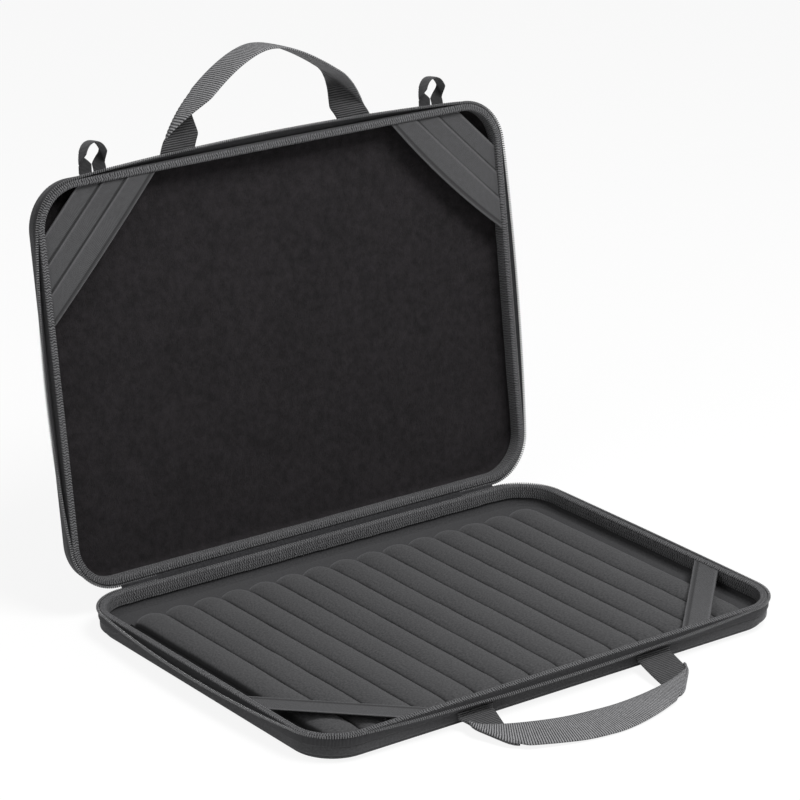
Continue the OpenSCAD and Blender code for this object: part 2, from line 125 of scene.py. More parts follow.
# %% [markdown]
# ## Laying a piece on the lid
# The lid is drawn as if it were a second tray, then turned over and swung open about the
# hinge, so that one description serves both halves.

# %% Place on the lid
def on_lid(points):
    p = np.array(points, float)
    y = p[..., 1] - HINGE_Y
    z = (TRAY_H + RIM_GAP + LID_H - p[..., 2]) - HINGE_Z
    a = math.radians(-LID_OPEN)
    p[..., 1] = HINGE_Y + y * math.cos(a) - z * math.sin(a)
    p[..., 2] = HINGE_Z + y * math.sin(a) + z * math.cos(a)
    return p


def on_tray(points):
    return np.array(points, float)


# %% [markdown]
# ## Making a mesh from rows of points
# A tape, a wall and a strap are all a grid: rows along the piece, and a closed ring of
# points across it. Writing the distance along and across into the UV map, in metres, lets
# a weave follow the piece round every corner at its real size.

# %% Grid meshes
def link(name, data):
    """A new object in the scene."""
    thing = bpy.data.objects.new(name, data)
    bpy.context.scene.collection.objects.link(thing)
    return thing


def store_painted_shade(piece, values):
    """Store painted shade at each point, from 0 to 1: how much darker the cloth's colour is painted there.
    """
    piece.data.attributes.new("dark", "FLOAT", "POINT").data.foreach_set("value", values)


def mesh_piece(name, points, faces, uvs, material):
    mesh = bpy.data.meshes.new(name)
    mesh.from_pydata((np.asarray(points) * MM).tolist(), [], faces)
    layer = mesh.uv_layers.new(name="UVMap")
    flat = np.array([uv for face in uvs for uv in face], np.float32) * MM
    layer.data.foreach_set("uv", flat.ravel())
    piece = link(name, mesh)
    shape = bmesh.new()
    shape.from_mesh(mesh)
    bmesh.ops.recalc_face_normals(shape, faces=shape.faces)
    shape.to_mesh(mesh)
    shape.free()
    mesh.shade_smooth()
    mesh.materials.append(material)
    return piece


def grid_piece(name, rows, along, material, loop=False, ring=True):
    """rows: n x m x 3 points. loop joins the last row to the first, ring the last column."""
    rows = np.asarray(rows, float)
    n, m = rows.shape[:2]
    mid = rows[n // 2]
    steps = np.linalg.norm(np.roll(mid, -1, 0) - mid, axis=1)
    across = np.concatenate([[0], np.cumsum(steps)])
    faces, uvs = [], []
    for i in range(n if loop else n - 1):
        a, b = i * m, ((i + 1) % n) * m
        u0 = along[i]
        u1 = along[i + 1] if i + 1 < len(along) else u0 * 2 - along[i - 1]
        for j in range(m if ring else m - 1):
            k = (j + 1) % m
            faces.append((a + j, a + k, b + k, b + j))
            v0, v1 = across[j], across[j + 1]
            uvs.append(((u0, v0), (u0, v1), (u1, v1), (u1, v0)))
    if ring and not loop:
        for start in (0, (n - 1) * m):
            faces.append(tuple(range(start, start + m)))
            uvs.append([(along[0 if start == 0 else -1], across[j]) for j in range(m)])
    return mesh_piece(name, rows.reshape(-1, 3), faces, uvs, material)


def rim_rows(stations, profile):
    """profile: m x 2 of (out, up), the same at every station, or n x m x 2."""
    profile = np.asarray(profile, float)
    if profile.ndim == 2:
        profile = np.broadcast_to(profile, (len(stations),) + profile.shape)
    x = stations[:, None, 0] + profile[..., 0] * stations[:, None, 2]
    y = stations[:, None, 1] + profile[..., 0] * stations[:, None, 3]
    return np.stack([x, y, profile[..., 1]], axis=-1)


def arc(cx, cz, rx, rz, start, end, steps=8):
    return [(cx + rx * math.cos(math.radians(a)), cz + rz * math.sin(math.radians(a)))
            for a in np.linspace(start, end, steps + 1)]


def rough(x, y=0.0, z=0.0, seed=0.0):
    """Smooth noise from -1 to 1 that is the same on every run."""
    return noise.noise(Vector((x + seed * 17.3, y - seed * 9.1, z + seed * 3.7)))


# %% [markdown]
# ## Finishes
# Cloth needs three things: a colour that varies a little, a soft sheen at glancing angles
# and a relief at the size of its threads. The colour and the relief come from shader node
# groups, built once and given other values in each finish. Shaders stay in the material.

# %% Small helpers for nodes
def add(tree, kind, settings=None, **inputs):
    node = tree.nodes.new(kind)
    for key, value in (settings or {}).items():
        setattr(node, key, value)
    for key, value in inputs.items():
        numbered = key[0] == "i" and key[1:].isdigit()
        socket = node.inputs[int(key[1:]) if numbered else key.replace("_", " ")]
        if isinstance(value, bpy.types.NodeSocket):
            tree.links.new(value, socket)
        else:
            socket.default_value = value
    return node


def maths(tree, operation, a, b=0.0, c=0.0, clamp=False):
    settings = {"operation": operation, "use_clamp": clamp}
    return add(tree, "ShaderNodeMath", settings, i0=a, i1=b, i2=c).outputs[0]


def clouds(tree, place, scale, detail, flat=False, **more):
    settings = {"noise_dimensions": "2D"} if flat else None
    node = add(tree, "ShaderNodeTexNoise", settings, Vector=place, Scale=scale, Detail=detail, **more)
    return node.outputs["Fac"]


def weave_place(tree):
    """The UV map, and its X and Y apart."""
    uv = add(tree, "ShaderNodeUVMap", {"uv_map": "UVMap"}).outputs["UV"]
    return uv, add(tree, "ShaderNodeSeparateXYZ", Vector=uv).outputs


def wave(tree, place, pitch):
    """A sine with one wave to each pitch."""
    turn = maths(tree, "MULTIPLY", place, 2 * math.pi)
    return maths(tree, "SINE", maths(tree, "DIVIDE", turn, pitch))


def two_colours(tree, amount, first, second):
    return add(tree, "ShaderNodeMix", {"data_type": "RGBA"}, Factor=amount,
               i6=(*first, 1), i7=(*second, 1)).outputs[2]


def new_finish(name):
    finish = bpy.data.materials.new(name)
    finish.use_nodes = True
    return finish, finish.node_tree


def group(name, sizes):
    """A shader group that is given sizes and gives a Height and a Shade."""
    tree = bpy.data.node_groups.new(name, "ShaderNodeTree")
    for label, value in sizes.items():
        socket = tree.interface.new_socket(label, in_out="INPUT", socket_type="NodeSocketFloat")
        socket.default_value = value
    for label in ("Height", "Shade"):
        tree.interface.new_socket(label, in_out="OUTPUT", socket_type="NodeSocketFloat")
    gin, gout = tree.nodes.new("NodeGroupInput"), tree.nodes.new("NodeGroupOutput")
    return tree, gin.outputs, gout.inputs


# %% [markdown]
# ### Cross ribs
# Webbing, binding tape and zip tape are woven with a thick thread that crosses the tape, so
# they show fine bars. A sine along the piece gives the bars, a second sine across it breaks
# them into stitches, and noise makes no two bars quite the same.

# %% The cross rib group
ribs, gin, gout = group("cross_ribs", {"Pitch": 0.0012, "Thread": 0.0008, "Uneven": 0.4, "Slant": 0.0})
uv, split = weave_place(ribs)
wobble = clouds(ribs, uv, 260.0, 2.0, flat=True)
shift = maths(ribs, "MULTIPLY", maths(ribs, "SUBTRACT", wobble, 0.5), gin["Uneven"])
zigzag = maths(ribs, "PINGPONG", maths(ribs, "DIVIDE", split["Y"], gin["Pitch"]), 1.0)
zigzag = maths(ribs, "MULTIPLY", zigzag, gin["Slant"])
place = maths(ribs, "ADD", maths(ribs, "DIVIDE", split["X"], gin["Pitch"]), zigzag)
turn = maths(ribs, "MULTIPLY", maths(ribs, "ADD", place, shift), 2 * math.pi)
bar = maths(ribs, "MULTIPLY_ADD", maths(ribs, "SINE", turn), 0.5, 0.5)
bar = maths(ribs, "POWER", bar, 0.7)
thread = maths(ribs, "MULTIPLY_ADD", wave(ribs, split["Y"], gin["Thread"]), 0.1, 0.9)
height = maths(ribs, "MULTIPLY", bar, thread)
# The colour follows the bars' height: painted highlight on their crests and painted shade between them, with
# some random tone from the noise.
shade = maths(ribs, "MULTIPLY_ADD", height, 0.8, maths(ribs, "MULTIPLY", wobble, 0.2))
ribs.links.new(height, gout["Height"])
ribs.links.new(shade, gout["Shade"])

# %% [markdown]
# ### Fine weave and fleece
# Covering cloth has threads of about half a millimetre both ways. Fleece has no threads at
# all: short fibres lie in clumps, so it is two sizes of noise.

# %% The weave group and the fleece group
weave, gin, gout = group("fine_weave", {"Pitch": 0.0006, "Slub": 0.5})
uv, split = weave_place(weave)
cross = [wave(weave, split[axis], gin["Pitch"]) for axis in ("X", "Y")]
checker = maths(weave, "MULTIPLY_ADD", maths(weave, "MULTIPLY", cross[0], cross[1]), 0.5, 0.5)
slub = clouds(weave, uv, 700.0, 3.0, flat=True)
weave.links.new(maths(weave, "MULTIPLY_ADD", slub, gin["Slub"], checker), gout["Height"])
weave.links.new(slub, gout["Shade"])

fleece, gin, gout = group("fleece", {"Fibre": 900.0, "Clump": 160.0})
place = add(fleece, "ShaderNodeTexCoord").outputs["Object"]
fibre = clouds(fleece, place, gin["Fibre"], 4.0, Roughness=0.7)
clump = clouds(fleece, place, gin["Clump"], 5.0, Roughness=0.65)
for share, first, second, socket in ((0.6, clump, fibre, "Height"), (0.35, fibre, clump, "Shade")):
    rest = maths(fleece, "MULTIPLY", second, 1 - share)
    fleece.links.new(maths(fleece, "MULTIPLY_ADD", first, share, rest), gout[socket])

# %% [markdown]
# ### One recipe for all cloth
# Each finish is a Principled BSDF whose colour is mixed between a dark and a light shade by
# the group's Shade, and whose Bump reads its Height. Wide, faint noise keeps large plain
# faces from looking printed.

# %% Build a cloth finish
def cloth(name, dark, light, pattern, values, relief, rough_at=0.9, sheen=0.25,
          tint=(0.6, 0.6, 0.62), mottle=0.12, low=0.25, high=0.75, painted_shade_strength=0.8):
    finish, tree = new_finish(name)
    tree.nodes.clear()
    effect = tree.nodes.new("ShaderNodeGroup")
    effect.node_tree = pattern
    for key, value in values.items():
        effect.inputs[key].default_value = value
    ramp = add(tree, "ShaderNodeMapRange", None, Value=effect.outputs["Shade"], From_Min=low,
               From_Max=high)
    place = add(tree, "ShaderNodeTexCoord").outputs["Object"]
    wide = maths(tree, "SUBTRACT", clouds(tree, place, 22.0, 3.0), 0.5)
    amount = maths(tree, "MULTIPLY_ADD", wide, mottle * 2, ramp.outputs[0], clamp=True)
    bump = add(tree, "ShaderNodeBump", None, Strength=1.0, Distance=relief,
               Height=effect.outputs["Height"])
    # Painted shade: the colour is darkened in the pad's seams, on the straps' flat ends and where the bands
    # overlap. The mesh says where.
    painted_shade_mask = add(tree, "ShaderNodeAttribute", {"attribute_name": "dark"}).outputs["Fac"]
    keep = maths(tree, "MULTIPLY_ADD", painted_shade_mask, -painted_shade_strength, 1.0)
    deep = add(tree, "ShaderNodeVectorMath", {"operation": "SCALE"},
               i0=two_colours(tree, amount, dark, light), i3=keep)
    shader = add(tree, "ShaderNodeBsdfPrincipled", None, Roughness=rough_at,
                 Base_Color=deep.outputs[0], Normal=bump.outputs[0], Sheen_Weight=sheen,
                 Sheen_Roughness=0.5, Sheen_Tint=(*tint, 1), Specular_IOR_Level=0.3)
    add(tree, "ShaderNodeOutputMaterial", None, Surface=shader.outputs[0])
    return finish


SHELL = cloth("shell_cloth", (0.016, 0.016, 0.017), (0.036, 0.036, 0.038), weave,
              {"Pitch": 0.0007}, 0.00006, 0.75)
LINING = cloth("tray_lining_cloth", (0.020, 0.020, 0.021), (0.040, 0.040, 0.042), weave,
               {"Pitch": 0.0008}, 0.00006, 0.9)
FLEECE = cloth("lid_fleece", (0.0035, 0.0030, 0.0034), (0.0145, 0.0125, 0.0140), fleece, {}, 0.0011,
               1.0, 0.06, (0.5, 0.45, 0.5), 0.3, 0.36, 0.64)
PAD = cloth("pad_cloth", (0.028, 0.028, 0.029), (0.066, 0.066, 0.068), weave,
            {"Pitch": 0.0005, "Slub": 0.8}, 0.00004, 0.85, 0.2, painted_shade_strength=0.9)
BINDING = cloth("binding_tape", (0.004, 0.004, 0.005), (0.130, 0.130, 0.134), ribs,
                {"Pitch": 0.0019, "Thread": 0.0021, "Uneven": 1.1, "Slant": 0.5}, 0.0005, 0.85, 0.1,
                low=0.1, high=0.85)
TAPE = cloth("zip_tape", (0.006, 0.006, 0.007), (0.040, 0.040, 0.042), ribs,
             {"Pitch": 0.0009, "Thread": 0.0007}, 0.00015, 0.9, 0.1)
ELASTIC = cloth("elastic", (0.022, 0.022, 0.023), (0.080, 0.080, 0.083), ribs,
                {"Pitch": 0.0008, "Thread": 0.0010, "Uneven": 0.5}, 0.00015, 0.85, 0.2)
WEBBING = cloth("webbing", (0.012, 0.012, 0.013), (0.300, 0.300, 0.307), ribs,
                {"Pitch": 0.0018, "Thread": 0.0014, "Uneven": 0.2}, 0.0004, 0.8, 0.15,
                low=0.15, high=0.95, painted_shade_strength=0.7)
RIBBON = cloth("loop_ribbon", (0.010, 0.010, 0.011), (0.080, 0.080, 0.083), ribs,
               {"Pitch": 0.0009, "Thread": 0.0010}, 0.00015, painted_shade_strength=0.5)
SPINE = cloth("spine_cloth", (0.006, 0.006, 0.007), (0.026, 0.026, 0.028), weave,
              {"Pitch": 0.0007}, 0.00006, 0.9, 0.1)
print("finishes:", len(bpy.data.materials))

# %% [markdown]
# ### Nylon and enamel
# The coil is satin nylon and the sliders are enamelled metal. Both are smooth, so a faint
# noise in the roughness is all they need beyond their colour.

# %% Smooth finishes
def satin(name, colour, metallic, rough_low, rough_high, scale):
    finish, tree = new_finish(name)
    shader = tree.nodes["Principled BSDF"]
    place = add(tree, "ShaderNodeTexCoord").outputs["Object"]
    cloud = clouds(tree, place, scale, 3.0)
    ramp = add(tree, "ShaderNodeMapRange", None, Value=cloud, To_Min=rough_low, To_Max=rough_high)
    tree.links.new(ramp.outputs[0], shader.inputs["Roughness"])
    tint = two_colours(tree, cloud, [c * 0.8 for c in colour], [c * 1.2 for c in colour])
    tree.links.new(tint, shader.inputs["Base Color"])
    shader.inputs["Metallic"].default_value = metallic
    return finish


NYLON = satin("zip_coil", (0.10, 0.10, 0.103), 0.0, 0.16, 0.3, 900.0)
ENAMEL = satin("slider_enamel", (0.05, 0.05, 0.053), 0.6, 0.28, 0.45, 300.0)

# %% [markdown]
# ## The two shells
# A shell is one closed outline carried round the rim: flat underside, rounded bottom edge, a
# small step where the wall is set in, the wall, and back down inside. Two flat faces close
# the underside and the floor.

# %% Shells
def rim_loop(name, profile, place, material):
    distances, stations = rim_walk()
    rows = rim_rows(stations[:-1], profile)
    piece = grid_piece(name, place(rows), distances, material, loop=True, ring=False)
    shape = bmesh.new()
    shape.from_mesh(piece.data)
    shape.verts.ensure_lookup_table()
    m = len(profile)
    layer = shape.loops.layers.uv.active
    for column in (0, m - 1):
        face = shape.faces.new([shape.verts[i * m + column] for i in range(len(rows))])
        face.smooth = True
        for loop in face.loops:
            x, y, z = loop.vert.co
            loop[layer].uv = (x, y if place is on_tray else z)
    bmesh.ops.recalc_face_normals(shape, faces=shape.faces)
    shape.to_mesh(piece.data)
    shape.free()
    return piece


SHELL_LINE = ([(-32, 0)] + arc(-12, 4.4, 8, 4.4, -90, -4, 9)
              + [(-3.9, 4.7), (-3.2, 5.1), (-2.2, 5.4), (-1.6, 5.9), (-1.5, 6.8), (-1.5, 12.0),
                 (-1.5, 18.0), (-1.6, 18.4), (-4.4, 18.4), (-4.5, 18.0), (-4.5, 8.0)]
              + arc(-9.5, 8, 5, 5, 0, -90) + [(-32, 3)])
tray_shell = rim_loop("tray_shell_cloth", SHELL_LINE, on_tray, SHELL)
lid_shell = rim_loop("lid_shell_cloth", SHELL_LINE, on_lid, SHELL)
for piece, node in ((tray_shell, "tray"), (lid_shell, "lid")):
    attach(piece, node)
    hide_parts(node + "_shell")
print("shell faces:", len(tray_shell.data.polygons))

# %% [markdown]
# ## Linings
# The tray is lined with smooth cloth and the lid with dark fleece. Both lie on the inside of
# their shell and run up behind the binding.

# %% Linings
LINING_LINE = ([(-32, 3.02), (-9.5, 3.02)] + arc(-9.5, 8, 4.95, 4.95, -90, 0) + [(-4.55, 18.2), (-5.4, 18.2)]
               + arc(-9.5, 8, 4.0, 4.0, 0, -90) + [(-32, 4.0)])
tray_lining = rim_loop("tray_lining_cloth", LINING_LINE, on_tray, LINING)
lid_lining = rim_loop("lid_lining_fleece", LINING_LINE, on_lid, FLEECE)
for piece, node, slot in ((tray_lining, "tray", "tray_lining_fabric"),
                          (lid_lining, "lid", "lid_lining_fabric")):
    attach(piece, node)
    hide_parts(node + "_lining")

# %% [markdown]
# ## Binding
# A woven tape is folded over the rim and sewn down inside. It is never quite even, so its
# lower edge wanders by a fraction of a millimetre and its fold swells and sinks.

# %% Binding tapes
BINDING_LINE = ([(-6.5, 9.9), (-6.6, 10.3), (-6.6, 14.0)] + arc(-5.3, 18.5, 1.3, 1.3, 180, 90, 5)
                + arc(-2.6, 18.7, 1.1, 1.1, 90, 0, 5)
                + [(-1.55, 18.45), (-4.4, 18.42), (-5.5, 18.3), (-5.5, 9.9)])


def binding(name, place, seed):
    distances, stations = rim_walk(step=2.0)
    rows = []
    for s, station in zip(distances[:-1], stations[:-1]):
        line = np.array(BINDING_LINE)
        line[:3, 1] += 0.45 * rough(s / 14.0, seed=seed)
        line[-1, 1] = line[0, 1]
        line[2:12, 0] += 0.10 * rough(s / 6.0, seed=seed + 1)
        line[4:12, 1] += 0.12 * rough(s / 9.0, seed=seed + 2) - 0.12
        rows.append(rim_rows(station[None, :], line)[0])
    return grid_piece(name, place(np.array(rows)), distances, BINDING, loop=True)


for place, body, seed in ((on_tray, "tray", 1), (on_lid, "lid", 5)):
    piece = binding(body + "_binding_tape", place, seed)
    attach(piece, body)
    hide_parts(body + "_binding")

# %% [markdown]
# ## Zip tape
# The zip tape is sewn to the outer wall, from one end of the spine round to the other. It
# stands upright at the corners and leans outwards along the sides, which is what leaves the
# dark gap between the teeth and the binding there.

# %% Zip tapes
FLARE_OUT, FLARE_DROP = 5.0, 2.5


def tape_line(flare):
    top = RIM_Z - TEETH_H - FLARE_DROP * flare
    inner, outer = [], []
    for k in range(9):
        t = k / 8
        lean = FLARE_OUT * flare * t ** 1.4
        z = TAPE_FOOT + (top + 0.3 - TAPE_FOOT) * t
        inner.append((WALL_OUT + 0.05 + lean, z))
        outer.append((WALL_OUT + 0.95 + lean - (0.35 if k == 0 else 0), z))
    return inner + outer[::-1]


def zip_tape(name, place):
    distances, stations = rim_walk(ZIP_END, RIM_LENGTH - ZIP_END, 3.0)
    rows = rim_rows(stations, [tape_line(station[4]) for station in stations])
    return grid_piece(name, place(rows), distances, TAPE)


for place, body in ((on_tray, "tray"), (on_lid, "lid")):
    piece = zip_tape(body + "_zip_tape_cloth", place)
    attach(piece, body)
    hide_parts(body + "_zip_tape")

# %% [markdown]
# ## Repeats along a line
# Teeth and stitches are the same small shape, many times, along a path. A Geometry Nodes
# tree does it: the path is a string of points, each carries its own turn, and the tree puts
# one copy of a shape on each, makes them real and gives them their finish. The same tree
# serves every row, because the shape and the finish are inputs.

# %% A tree that repeats a shape along points
def repeat_tree():
    tree = bpy.data.node_groups.new("repeat_on_points", "GeometryNodeTree")
    face = tree.interface
    face.new_socket("Points", in_out="INPUT", socket_type="NodeSocketGeometry")
    face.new_socket("Shape", in_out="INPUT", socket_type="NodeSocketObject")
    face.new_socket("Finish", in_out="INPUT", socket_type="NodeSocketMaterial")
    face.new_socket("Result", in_out="OUTPUT", socket_type="NodeSocketGeometry")
    nodes, links = tree.nodes, tree.links
    start, end = nodes.new("NodeGroupInput"), nodes.new("NodeGroupOutput")
    shape = nodes.new("GeometryNodeObjectInfo")
    turn = nodes.new("GeometryNodeInputNamedAttribute")
    turn.data_type = "FLOAT_VECTOR"
    turn.inputs["Name"].default_value = "turn"
    spread = nodes.new("GeometryNodeInstanceOnPoints")
    real = nodes.new("GeometryNodeRealizeInstances")
    finish = nodes.new("GeometryNodeSetMaterial")
    links.new(start.outputs["Shape"], shape.inputs["Object"])
    links.new(start.outputs["Points"], spread.inputs["Points"])
    links.new(shape.outputs["Geometry"], spread.inputs["Instance"])
    links.new(turn.outputs[0], spread.inputs["Rotation"])
    links.new(spread.outputs[0], real.inputs[0])
    links.new(real.outputs[0], finish.inputs["Geometry"])
    links.new(start.outputs["Finish"], finish.inputs["Material"])
    links.new(finish.outputs[0], end.inputs["Result"])
    return tree


REPEAT = repeat_tree()


def repeat(name, points, frames, shape, material):
    """points: n x 3 in mm. frames: for each point the directions of the shape's X and Z."""
    mesh = bpy.data.meshes.new(name)
    mesh.from_pydata((np.asarray(points) * MM).tolist(), [], [])
    turns = []
    for x, z in frames:
        x = Vector(x).normalized()
        z = (Vector(z) - x * Vector(z).dot(x)).normalized()
        turns.extend(Matrix((x, z.cross(x), z)).transposed().to_euler())
    mesh.attributes.new("turn", "FLOAT_VECTOR", "POINT").data.foreach_set("vector", turns)
    row = link(name, mesh)
    modifier = row.modifiers.new("repeat", "NODES")
    modifier.node_group = REPEAT
    names = {item.name: item.identifier for item in REPEAT.interface.items_tree
             if item.in_out == "INPUT"}
    modifier[names["Shape"]] = shape
    modifier[names["Finish"]] = material
    bpy.context.view_layer.update()
    finished = row.evaluated_get(bpy.context.evaluated_depsgraph_get())
    done = bpy.data.meshes.new_from_object(finished)
    row.modifiers.clear()
    row.data = done
    done.name = name
    done.shade_smooth()
    return row


def small_shape(name, size, bevel, segments):
    """A rounded bar, kept out of the scene. size in mm along X, Y, Z."""
    shape = bmesh.new()
    bmesh.ops.create_cube(shape, size=1.0)
    bmesh.ops.scale(shape, vec=[s * MM for s in size], verts=shape.verts)
    bmesh.ops.bevel(shape, geom=shape.edges[:], offset=bevel * MM, segments=segments,
                    affect="EDGES", profile=0.6)
    mesh = bpy.data.meshes.new(name)
    shape.to_mesh(mesh)
    shape.free()
    return bpy.data.objects.new(name, mesh)


# %% [markdown]
# ## Zip teeth
# A coil zip's teeth are loops of nylon thread that lie across the edge of the tape, every
# 1.65 mm. Each is drawn as a rounded bar. Where the tape leans out, its teeth lean with it.

# %% Zip teeth
TOOTH_PITCH, TOOTH_SIZE, TOOTH_BEVEL, TOOTH_LEAN = 1.65, (0.85, 2.0, 1.45), 0.32, 22
tooth = small_shape("coil_loop", TOOTH_SIZE, TOOTH_BEVEL, 2)


def zip_teeth(name, place):
    distances, stations = rim_walk(ZIP_END + 1, RIM_LENGTH - ZIP_END - 1, TOOTH_PITCH)
    points, frames = [], []
    for x, y, nx, ny, flare in stations:
        out = WALL_OUT + 1.2 + FLARE_OUT * flare
        z = RIM_Z - 0.8 - FLARE_DROP * flare
        points.append((x + nx * out, y + ny * out, z))
        lean = math.radians(TOOTH_LEAN) * flare
        up = (nx * math.sin(lean), ny * math.sin(lean), math.cos(lean))
        frames.append(((-ny, nx, 0), up))
    points = place(points)
    if place is on_lid:
        origin = on_lid([0, 0, 0])
        frames = [(on_lid(x) - origin, on_lid(z) - origin) for x, z in frames]
    return repeat(name, points, frames, tooth, NYLON)


for place, body in ((on_tray, "tray"), (on_lid, "lid")):
    piece = zip_teeth(body + "_zip_coil", place)
    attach(piece, body)
    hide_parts(body + "_zip_teeth")
    print(piece.name, "faces:", len(piece.data.polygons))

# %% [markdown]
# ## The ribbed pad
# The pad is foam under cloth, sewn to a board along sixteen lines, so each of its fifteen
# ribs is a long crowned cushion. The cloth is pulled down at the seams, and at each rib's
# end the seam draws the corners in, which leaves a round nose. The form is worked out point
# by point: a crown across the rib, a fall at its ends, then small random swells, because
# foam is never even.

# %% The pad's surface
RIBS, PITCH, RIB_LEN, RIB_H, PAD_SHIFT, PAD_FLOOR = 15, 350 / 15, 250.0, 8.8, 8.0, 5.2
# The last two are how far, in mm, the painted shade in the grooves reaches from a seam and from a rib's end.
NOSE_LEN, SEAM_PULL, SEAM_PAINTED_SHADE, END_PAINTED_SHADE = 17.0, 7.0, 1.3, 2.5


def pad_height(i, u, y_in):
    """Height of a rib above the board at u across (0 to 1) and y_in from its nearer end; i, the rib's
    number, is not used.
    """
    crown = math.sin(math.pi * u) ** 0.42 if 0 < u < 1 else 0.0
    fall = min(max(y_in / NOSE_LEN, 0.0), 1.0)
    fall = math.sqrt(1 - (1 - fall) ** 2)
    return 0.6 + (1.4 + (RIB_H - 2.1) * crown) * fall


def pad_piece(name):
    across_n, rows_n = 22, 110
    ease = [0.5 - 0.5 * math.cos(math.pi * k / rows_n) for k in range(rows_n + 1)]
    ease = [0.45 * e + 0.55 * k / rows_n for k, e in enumerate(ease)]
    rows, along, dark = [], [], []
    for c in range(RIBS * across_n + 1):
        i = min(c // across_n, RIBS - 1)
        u = c / across_n - i
        # More columns beside the seams, where the cloth turns down
        u = u - 0.11 * math.sin(2 * math.pi * u)
        edge = c in (0, RIBS * across_n)
        crown = math.sin(math.pi * u) ** 0.5 if 0 < u < 1 else 0.0
        pull = SEAM_PULL * (1 - crown)
        column = []
        for v in ease:
            inner = RIB_LEN - 2 * pull
            y_in = min(v, 1 - v) * inner
            z = PAD_FLOOR + (0.4 if edge else pad_height(i, u, y_in))
            y = -RIB_LEN / 2 + pull + v * inner
            x = (i + u - RIBS / 2) * PITCH
            if not edge:
                swell = (rough(x / 60, y / 45, seed=3) * 0.35
                         + rough(x / 9, y / 26, i * 3.1, seed=4) * 0.22)
                crease = (rough(x / 3.5, y / 11, seed=5) * 0.25 * (1 - crown)
                          + rough(x / 5, y / 5, seed=6) * 0.10)
                z += (swell + crease) * min(y_in / 8, 1)
                x += rough(y / 30, i * 2.7, seed=7) * 0.35 * (1 - crown) * min(y_in / 20, 1)
            z = min(z, PAD_FLOOR + RIB_H)
            column.append((x, y - PAD_SHIFT, z))
        first, last = ((*column[k][:2], PAD_FLOOR) for k in (0, -1))
        rows.append([first] + column + [last])
        # Painted shade: the colour is darkened beside each seam and at each rib's end, where the grooves lie
        # in shade.
        seam = max(1 - min(u, 1 - u) * PITCH / SEAM_PAINTED_SHADE, 0.0)
        ends = [max(seam, 1 - min(v, 1 - v) * RIB_LEN / END_PAINTED_SHADE) for v in ease]
        dark += [1.0] + ends + [1.0]
        along.append((i + u) * PITCH)
    piece = grid_piece(name, rows, along, PAD)
    store_painted_shade(piece, dark)
    return piece


pad = pad_piece("ribbed_pad")
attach(pad, "tray")
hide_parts("rib_pad")
print("pad faces:", len(pad.data.polygons))

# %% [markdown]
# ## Flat straps
# A strap is a strip of points, some lanes wide, that gets its thickness at the end. Its
# long edges are a little rounded. Each pair of rows also says where the weave lies, so that
# the ribs of the webbing stay straight and are cut off where it is folded.

# %% Strips with a thickness
def strip_piece(name, strip, chart, thick, place, material, shade):
    """strip: rows x lanes x 3, mm. chart: for each pair of rows, the weave's place on both.
    shade: rows x lanes of painted shade, 1 where the web lies flat in shade and its colour is painted dark."""
    strip = np.asarray(strip, float)
    n, m = strip.shape[:2]
    along, across = np.gradient(strip, axis=0), np.gradient(strip, axis=1)
    face = np.cross(along, across)
    face /= np.linalg.norm(face, axis=2, keepdims=True)
    across /= np.linalg.norm(across, axis=2, keepdims=True)
    swell = np.ones((1, m, 1)) * thick / 2
    swell[:, [0, -1]] *= 0.72
    rows = np.concatenate([strip[:, :1] - across[:, :1] * thick * 0.25, strip + face * swell,
                           strip[:, -1:] + across[:, -1:] * thick * 0.25,
                           (strip - face * swell)[:, ::-1]], axis=1)
    lanes = [0] + list(range(m)) + [m - 1] + list(range(m - 1, -1, -1))
    ring = len(lanes)
    faces, uvs = [], []
    for i in range(n - 1):
        for j in range(ring):
            k = (j + 1) % ring
            faces.append((i * ring + j, i * ring + k, (i + 1) * ring + k, (i + 1) * ring + j))
            (first, second), (a, b) = chart[i], (lanes[j], lanes[k])
            uvs.append((first[a], first[b], second[b], second[a]))
    for start, row in ((0, chart[0][0]), ((n - 1) * ring, chart[-1][1])):
        faces.append(tuple(range(start, start + ring)))
        uvs.append([row[lane] for lane in lanes])
    piece = mesh_piece(name, place(rows).reshape(-1, 3), faces, uvs, material)
    dark = np.asarray(shade, np.float32)[:, lanes].ravel()
    store_painted_shade(piece, dark)
    return piece


def plain_chart(strip):
    """The weave follows the strip: along its middle, and across its lanes."""
    middle = strip[:, strip.shape[1] // 2]
    run = np.concatenate([[0], np.cumsum(np.linalg.norm(np.diff(middle, axis=0), axis=1))])
    width = np.linalg.norm(np.diff(strip[len(strip) // 2], axis=0), axis=1).sum()
    lanes = strip.shape[1]
    rows = [[(s, width * j / (lanes - 1)) for j in range(lanes)] for s in run]
    return list(zip(rows[:-1], rows[1:])), run[-1]


def smooth_step(u):
    u = min(max(u, 0.0), 1.0)
    return u * u * (3 - 2 * u)


def bezier(p, t):
    p = np.array(p, float)
    return ((1 - t) ** 3 * p[0] + 3 * (1 - t) ** 2 * t * p[1] + 3 * (1 - t) * t * t * p[2]
            + t ** 3 * p[3])


def case_point(place, p):
    return tuple(np.asarray(place([p]))[0] * MM)


def sewn_rows(foot, side, span, width, thick, lanes, bend=1.5, top=11.9):
    """Down the wall from the stitching, and round the bend that leads out of it."""
    wall = WALL_OUT - CASE_D / 2 + 3 - thick / 2 - 0.05
    line = [(wall, z) for z in np.linspace(top, foot[2] + bend, 5)[:-1]]
    line += [(wall - bend + bend * math.cos(a), foot[2] + bend - bend * math.sin(a))
             for a in np.linspace(0, math.pi / 2, 8)[:-1]]
    inner, outer = span / 2 - width / 2, span / 2 + width / 2
    return [[(foot[0] + side * x, y, z) for x in np.linspace(inner, outer, lanes + 1)]
            for y, z in line]


# %% [markdown]
# ## The lid's handle and the two ribbon loops
# Each end leaves the wall flat. Its outer edge is then folded over on a slant, comes round
# to the front and stands up, and the arch goes on from there. The fold travels across the
# lanes one after another, which leaves the soft crease that forms the outline.

# %% Folded straps
FOLD_MIDDLE, FOLD_SOFT = 0.31, 0.2


